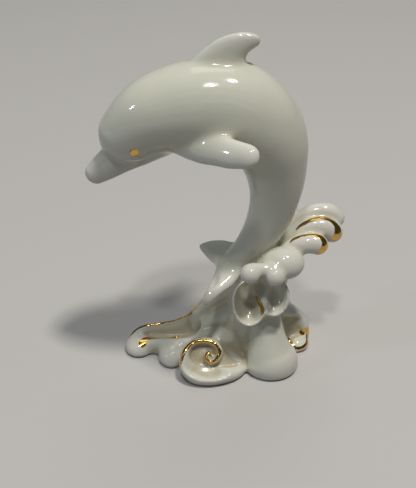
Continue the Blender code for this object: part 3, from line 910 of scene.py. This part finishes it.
def gilding_strokes(skin):
    """All the gold: lines along the wave's curls, and the dolphin's eyes."""
    return [
        stroke(
            "gilt_tongue_ridge",
            skin,
            (
                (-28.7, 1.4, 3.4, 0.3),
                (-26.8, 3.2, 4.8, 1.0),
                (-24.8, 3.9, 6.0, 1.2),
                (-22.0, 4.1, 6.6, 1.2),
                (-18.9, 4.2, 7.0, 1.2),
                (-15.9, 4.3, 7.4, 1.2),
                (-13.3, 4.0, 8.4, 1.1),
                (-11.3, 3.2, 10.2, 1.0),
                (-9.6, 2.4, 12.4, 1.0),
                (-8.1, 1.9, 14.8, 0.8),
                (-6.8, 1.6, 16.6, 0.6),
                (-5.8, 1.6, 18.0, 0.2),
            ),
        ),
        stroke(
            "gilt_tongue_comma",
            skin,
            (
                (-12.9, 2.5, 3.6, 0.3),
                (-14.7, 1.7, 3.3, 1.2),
                (-17.7, 0.7, 3.5, 1.8),
                (-20.7, 0.3, 3.9, 2.0),
                (-22.4, 0.1, 4.2, 2.1),
                (-23.3, -0.4, 4.4, 2.1),
                (-23.9, -1.4, 4.3, 2.0),
                (-24.0, -2.4, 4.0, 1.1),
            ),
        ),
        dab("gilt_tongue_dab", skin, (-24.0, -1.8, 4.2), 1.3, 1.7),
        stroke(
            "gilt_front_scroll",
            skin,
            (
                (-12.3, -13.8, 4.6, 0.3),
                (-12.2, -13.2, 6.2, 0.9),
                (-11.9, -12.2, 7.9, 1.5),
                (-10.8, -10.7, 9.4, 2.0),
                (-9.2, -9.3, 10.5, 2.3),
                (-6.9, -8.9, 11.1, 2.5),
                (-4.6, -8.9, 11.1, 2.6),
                (-2.6, -9.3, 10.5, 2.6),
                (-1.2, -10.2, 9.4, 2.5),
                (-1.0, -11.2, 8.3, 2.5),
                (-1.9, -12.1, 6.9, 2.4),
                (-3.2, -12.5, 6.1, 2.5),
                (-4.4, -12.1, 6.6, 2.8),
                (-4.8, -11.1, 7.5, 3.2),
                (-4.3, -10.3, 7.9, 3.2),
                (-3.7, -10.0, 7.8, 1.8),
            ),
        ),
        stroke(
            "gilt_right_scroll",
            skin,
            (
                (19.0, 0.6, 6.0, 0.4),
                (19.3, 1.0, 5.2, 0.9),
                (19.8, 1.0, 4.3, 1.0),
                (20.5, 0.6, 3.3, 0.9),
                (21.1, -0.4, 2.7, 1.0),
                (22.2, -1.5, 1.9, 1.1),
                (23.4, -1.6, 1.7, 1.3),
                (24.9, -0.7, 1.7, 1.4),
                (26.1, 1.3, 1.8, 1.5),
                (26.6, 3.2, 2.6, 1.5),
                (26.4, 4.1, 3.8, 1.5),
                (25.7, 4.0, 4.5, 1.6),
                (24.9, 3.7, 4.5, 1.8),
                (24.5, 3.1, 3.6, 2.0),
                (24.6, 2.9, 3.0, 0.8),
            ),
        ),
        stroke(
            "gilt_curl_tick",
            skin,
            (
                (9.2, -4.9, 24.7, 0.4),
                (9.7, -5.9, 24.2, 1.0),
                (10.2, -6.8, 23.8, 1.4),
                (10.6, -7.8, 23.4, 1.8),
                (10.9, -8.7, 23.1, 2.1),
                (11.2, -9.5, 22.6, 2.2),
                (11.4, -10.1, 21.8, 1.8),
                (11.5, -10.4, 21.2, 0.8),
            ),
        ),
        stroke(
            "gilt_middle_finger",
            skin,
            (
                (20.2, 2.3, 42.3, 0.3),
                (21.3, 2.9, 43.2, 1.1),
                (22.7, 3.3, 44.0, 1.5),
                (25.2, 3.9, 44.9, 1.8),
                (26.9, 4.2, 45.1, 1.8),
                (28.3, 4.2, 45.0, 1.9),
                (29.8, 3.9, 44.7, 2.0),
                (31.0, 3.4, 44.0, 2.3),
                (31.7, 2.8, 43.0, 2.6),
                (32.0, 2.1, 41.8, 2.9),
                (31.8, 1.6, 40.8, 3.1),
                (31.1, 1.3, 40.3, 2.8),
                (30.4, 1.3, 40.8, 1.0),
            ),
        ),
        stroke(
            "gilt_lower_finger",
            skin,
            (
                (18.1, -2.2, 41.3, 0.3),
                (19.1, -1.5, 41.7, 1.1),
                (20.5, -1.0, 42.2, 1.5),
                (22.4, -0.8, 42.7, 1.8),
                (23.8, -0.9, 42.9, 1.9),
                (25.3, -1.1, 43.0, 1.9),
                (26.6, -1.5, 42.7, 2.1),
                (27.5, -2.2, 41.9, 2.4),
                (27.9, -2.8, 40.9, 2.8),
                (27.6, -3.4, 39.7, 3.1),
                (26.9, -3.9, 39.3, 2.8),
                (26.1, -4.0, 39.9, 1.0),
            ),
        ),
        dab("gilt_left_eye", skin, (EYE_X, -EYE_OUT, EYE_Z), EYE_ALONG, EYE_ACROSS),
        dab("gilt_right_eye", skin, (EYE_X, EYE_OUT, EYE_Z), EYE_ALONG, EYE_ACROSS),
    ]


def add(tree, kind, inputs=(), **settings):
    """A node with its settings, and its inputs set to values or linked to other nodes' outputs."""
    made = tree.nodes.new(kind)
    for name, value in settings.items():
        setattr(made, name, value)
    for name, value in dict(inputs).items():
        if isinstance(value, bpy.types.NodeSocket):
            tree.links.new(value, made.inputs[name])
        else:
            made.inputs[name].default_value = value
    return made


def patches_group():
    """Cloudy patches from 0 to 1, so many per metre, pushed apart by the contrast."""
    group = bpy.data.node_groups.new("cloudy_patches", "ShaderNodeTree")
    for name, value in (("Per metre", 100.0), ("Contrast", 1.0)):
        given = group.interface.new_socket(name, in_out="INPUT", socket_type="NodeSocketFloat")
        given.default_value = value
    group.interface.new_socket("Patches", in_out="OUTPUT", socket_type="NodeSocketFloat")
    given = add(group, "NodeGroupInput")
    place = add(group, "ShaderNodeTexCoord")
    noise = add(
        group,
        "ShaderNodeTexNoise",
        {"Vector": place.outputs["Object"], "Scale": given.outputs["Per metre"], "Detail": 3.0},
    )
    centred = add(group, "ShaderNodeMath", {0: noise.outputs["Fac"], 1: 0.5}, operation="SUBTRACT")
    spread = add(
        group,
        "ShaderNodeMath",
        {0: centred.outputs[0], 1: given.outputs["Contrast"], 2: 0.5},
        operation="MULTIPLY_ADD",
        use_clamp=True,
    )
    add(group, "NodeGroupOutput", {"Patches": spread.outputs[0]})


def patches(tree, per_metre, contrast):
    """The cloudy patches, placed in a material with its own values."""
    made = add(tree, "ShaderNodeGroup", node_tree=bpy.data.node_groups["cloudy_patches"])
    made.inputs["Per metre"].default_value = per_metre
    made.inputs["Contrast"].default_value = contrast
    return made.outputs["Patches"]


def ranged(tree, value, low, high, to_low=0.0, to_high=1.0):
    """The value's stretch from low to high, eased onto another range."""
    made = add(
        tree,
        "ShaderNodeMapRange",
        {"Value": value, "From Min": low, "From Max": high, "To Min": to_low, "To Max": to_high},
        interpolation_type="SMOOTHSTEP",
    )
    return made.outputs["Result"]


def mixed(tree, share, one, other):
    """One colour turning into the other as the share goes from 0 to 1."""
    made = add(tree, "ShaderNodeMix", {"Factor": share}, data_type="RGBA")
    for place, colour in ((6, one), (7, other)):
        if isinstance(colour, bpy.types.NodeSocket):
            tree.links.new(colour, made.inputs[place])
        else:
            made.inputs[place].default_value = (*colour, 1)
    return made.outputs[2]


def product(tree, *values):
    """Values multiplied together."""
    total = values[0]
    for value in values[1:]:
        total = add(tree, "ShaderNodeMath", {0: total, 1: value}, operation="MULTIPLY").outputs[0]
    return total


def plus(tree, base, value, factor=1.0):
    """The base and the value added up, with the value times a factor."""
    inputs = {0: value, 1: factor, 2: base}
    return add(tree, "ShaderNodeMath", inputs, operation="MULTIPLY_ADD").outputs[0]


def glaze():
    """Ivory porcelain under a clear glaze, honey-brown where it pools, as painted shade in the hollows,
    and thin over the ridges.
    """
    material = bpy.data.materials.new("ivory_glaze")
    material.use_nodes = True
    tree = material.node_tree
    shader = tree.nodes["Principled BSDF"]
    hollow = add(tree, "ShaderNodeAttribute", attribute_name="hollow").outputs["Fac"]
    place = add(tree, "ShaderNodeTexCoord").outputs["Object"]
    height = add(tree, "ShaderNodeSeparateXYZ", {0: place}).outputs["Z"]

    # Ivory with broad and fine clouds, paler on the ridges
    ivory = mixed(tree, patches(tree, 55, 1.8), IVORY_WARM, IVORY_COOL)
    ivory = mixed(tree, product(tree, patches(tree, 420, 2.0), 0.35), ivory, IVORY_CLOUD)
    thin = product(tree, ranged(tree, hollow, -0.25, -0.9), 0.5)
    ivory = mixed(tree, thin, ivory, IVORY_THIN)

    # Honey in the hollows, uneven, and stronger low on the wave than above it: pooled glaze and painted
    # shade in the creases, darker towards the bottom
    pooled_and_painted_shade = product(
        tree,
        ranged(tree, hollow, 0.12, 0.85),
        ranged(tree, patches(tree, 160, 1.6), 0.1, 0.8, 0.6, 1.0),
        ranged(tree, height, 12 * MM, 20 * MM, 0.85, 0.35),
        ranged(tree, patches(tree, 800, 2.2), 0.1, 0.7, 0.75, 1.0),
    )
    ivory = mixed(tree, pooled_and_painted_shade, ivory, HONEY_AND_PAINTED_SHADE)

    # A few small specks, and the bare rim where the foot was wiped clean, dark there also as painted
    # contact shade along the floor
    cells = add(tree, "ShaderNodeTexVoronoi", {"Vector": place, "Scale": 190.0})
    rare = add(tree, "ShaderNodeSeparateColor", {"Color": cells.outputs["Color"]}).outputs["Red"]
    small = ranged(tree, cells.outputs["Distance"], 0.055, 0.02)
    speck = product(tree, small, ranged(tree, rare, 0.90, 0.94), 0.5)
    ivory = mixed(tree, speck, ivory, IRON_SPECK)
    bare_and_shaded_rim = ranged(tree, height, 0.35 * MM, 0.1 * MM)
    tree.links.new(mixed(tree, bare_and_shaded_rim, ivory, BARE_CLAY_AND_PAINTED_SHADE), shader.inputs["Base Color"])

    # Glossy all over, duller under the honey and painted shade, and dull on the bare rim
    sheen = ranged(tree, patches(tree, 240, 2.2), 0.0, 1.0, 0.055, 0.13)
    satin = plus(tree, sheen, pooled_and_painted_shade, 0.3)
    tree.links.new(plus(tree, satin, bare_and_shaded_rim, 0.6), shader.inputs["Roughness"])

    # Slow waves, a fine orange peel and a pit at each speck, as heights in mm
    waves = product(tree, patches(tree, 130, 1.4), 0.03)
    peel = product(tree, patches(tree, 1100, 1.6), 0.006)
    pits = product(tree, speck, -0.05)
    relief = plus(tree, plus(tree, waves, peel), pits)
    bump = add(tree, "ShaderNodeBump", {"Height": relief, "Distance": 1.0 * MM})
    tree.links.new(bump.outputs["Normal"], shader.inputs["Normal"])
    shader.inputs["IOR"].default_value = GLAZE_IOR
    return material


def gilding():
    """Bright gold lustre, brown where the brush left it thin at the edges, darkened there as a painted
    dark reflection.
    """
    material = bpy.data.materials.new("gold_lustre")
    material.use_nodes = True
    tree = material.node_tree
    shader = tree.nodes["Principled BSDF"]
    thin = add(tree, "ShaderNodeAttribute", attribute_name="thin").outputs["Fac"]
    uneven = patches(tree, 900, 2.4)
    # The frayed edge carries a painted dark rim of reflection round each line and dab
    edge = ranged(tree, plus(tree, thin, uneven, 0.3), 0.80, 1.15)
    gold = mixed(tree, patches(tree, 350, 2.0), GOLD_BRIGHT, GOLD_DEEP)
    tree.links.new(mixed(tree, edge, gold, GOLD_FRAYED_AND_PAINTED_DARK), shader.inputs["Base Color"])
    tree.links.new(ranged(tree, uneven, 0.1, 0.9, 0.10, 0.22), shader.inputs["Roughness"])
    tree.links.new(ranged(tree, edge, 0.0, 1.0, 1.0, 0.55), shader.inputs["Metallic"])
    brushed = product(tree, patches(tree, 1600, 2.0), 0.012)
    bump = add(tree, "ShaderNodeBump", {"Height": brushed, "Distance": 1.0 * MM})
    tree.links.new(bump.outputs["Normal"], shader.inputs["Normal"])
    return material


def studio_floor():
    """A plain pale floor that throws little light back up at the figurine."""
    mesh = bmesh.new()
    bmesh.ops.create_grid(mesh, size=FLOOR_HALF_WIDTH)
    data = bpy.data.meshes.new("floor")
    mesh.to_mesh(data)
    mesh.free()
    floor = bpy.data.objects.new("floor", data)
    bpy.context.scene.collection.objects.link(floor)
    material = bpy.data.materials.new("pale_floor")
    material.use_nodes = True
    tree = material.node_tree
    shader = tree.nodes["Principled BSDF"]
    rays = add(tree, "ShaderNodeLightPath").outputs
    seen = {0: rays["Is Camera Ray"], 1: rays["Is Glossy Ray"]}
    seen = add(tree, "ShaderNodeMath", seen, operation="MAXIMUM").outputs[0]
    colour = mixed(tree, seen, FLOOR_BOUNCE, FLOOR_SEEN)
    tree.links.new(colour, shader.inputs["Base Color"])
    shader.inputs["Roughness"].default_value = 0.75
    data.materials.append(material)


def softbox(name, place, size, power, colour=WHITE_LAMP):
    """A square lamp that shines on the middle of the figurine."""
    lamp = bpy.data.lights.new(name, "AREA")
    lamp.color = colour
    lamp.shape = "SQUARE"
    lamp.size = size
    lamp.energy = power
    light = bpy.data.objects.new(name, lamp)
    light.location = place
    light.rotation_mode = "QUATERNION"
    light.rotation_quaternion = (Vector((0, 0, HEIGHT / 2)) - Vector(place)).to_track_quat("-Z", "Y")
    bpy.context.scene.collection.objects.link(light)


def studio_light():
    """A key light high above, a broad one behind, two small ones for sparkle, and a faint room."""
    softbox("key_light", (0.27, -0.17, 1.25), 0.13, 8.2, WARM_LAMP)
    softbox("top_light", (0.00, 0.50, 1.00), 0.50, 1.2)
    softbox("front_light", (-0.08, -0.44, 1.15), 0.08, 2.6)
    softbox("window_light", (-0.87, -0.26, 0.46), 0.08, 0.8, WINDOW_LAMP)
    world = bpy.data.worlds.new("studio")
    world.use_nodes = True
    background = world.node_tree.nodes["Background"]
    background.inputs["Color"].default_value = (*ROOM_LIGHT, 1)
    background.inputs["Strength"].default_value = ROOM_STRENGTH
    bpy.context.scene.world = world


def camera():
    """The photograph's camera."""
    data = bpy.data.cameras.new("camera")
    data.sensor_width = SENSOR_MM
    data.lens = data.sensor_width * FOCAL_LENGTH_PX / IMAGE_HEIGHT_PX
    data.clip_start = 1 * MM
    made = bpy.data.objects.new("camera", data)
    made.location = CAMERA_PLACE
    made.rotation_euler = (math.pi / 2 - CAMERA_PITCH, 0, 0)
    bpy.context.scene.collection.objects.link(made)
    bpy.context.scene.camera = made


def main():
    bpy.context.scene.view_settings.view_transform = "Standard"
    camera()
    studio_floor()
    studio_light()
    patches_group()

    figurine = porcelain_figurine()
    bpy.context.scene.collection.objects.link(figurine)
    figurine.data.materials.clear()
    figurine.data.materials.append(glaze())
    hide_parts("dolphin_on_wave")
    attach(figurine, "root")

    clay = bmesh.new()
    clay.from_mesh(figurine.data)
    skin = BVHTree.FromBMesh(clay)
    clay.free()
    gold = gilding()
    for piece in gilding_strokes(skin):
        piece.data.materials.append(gold)
        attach(piece, "root")


main()
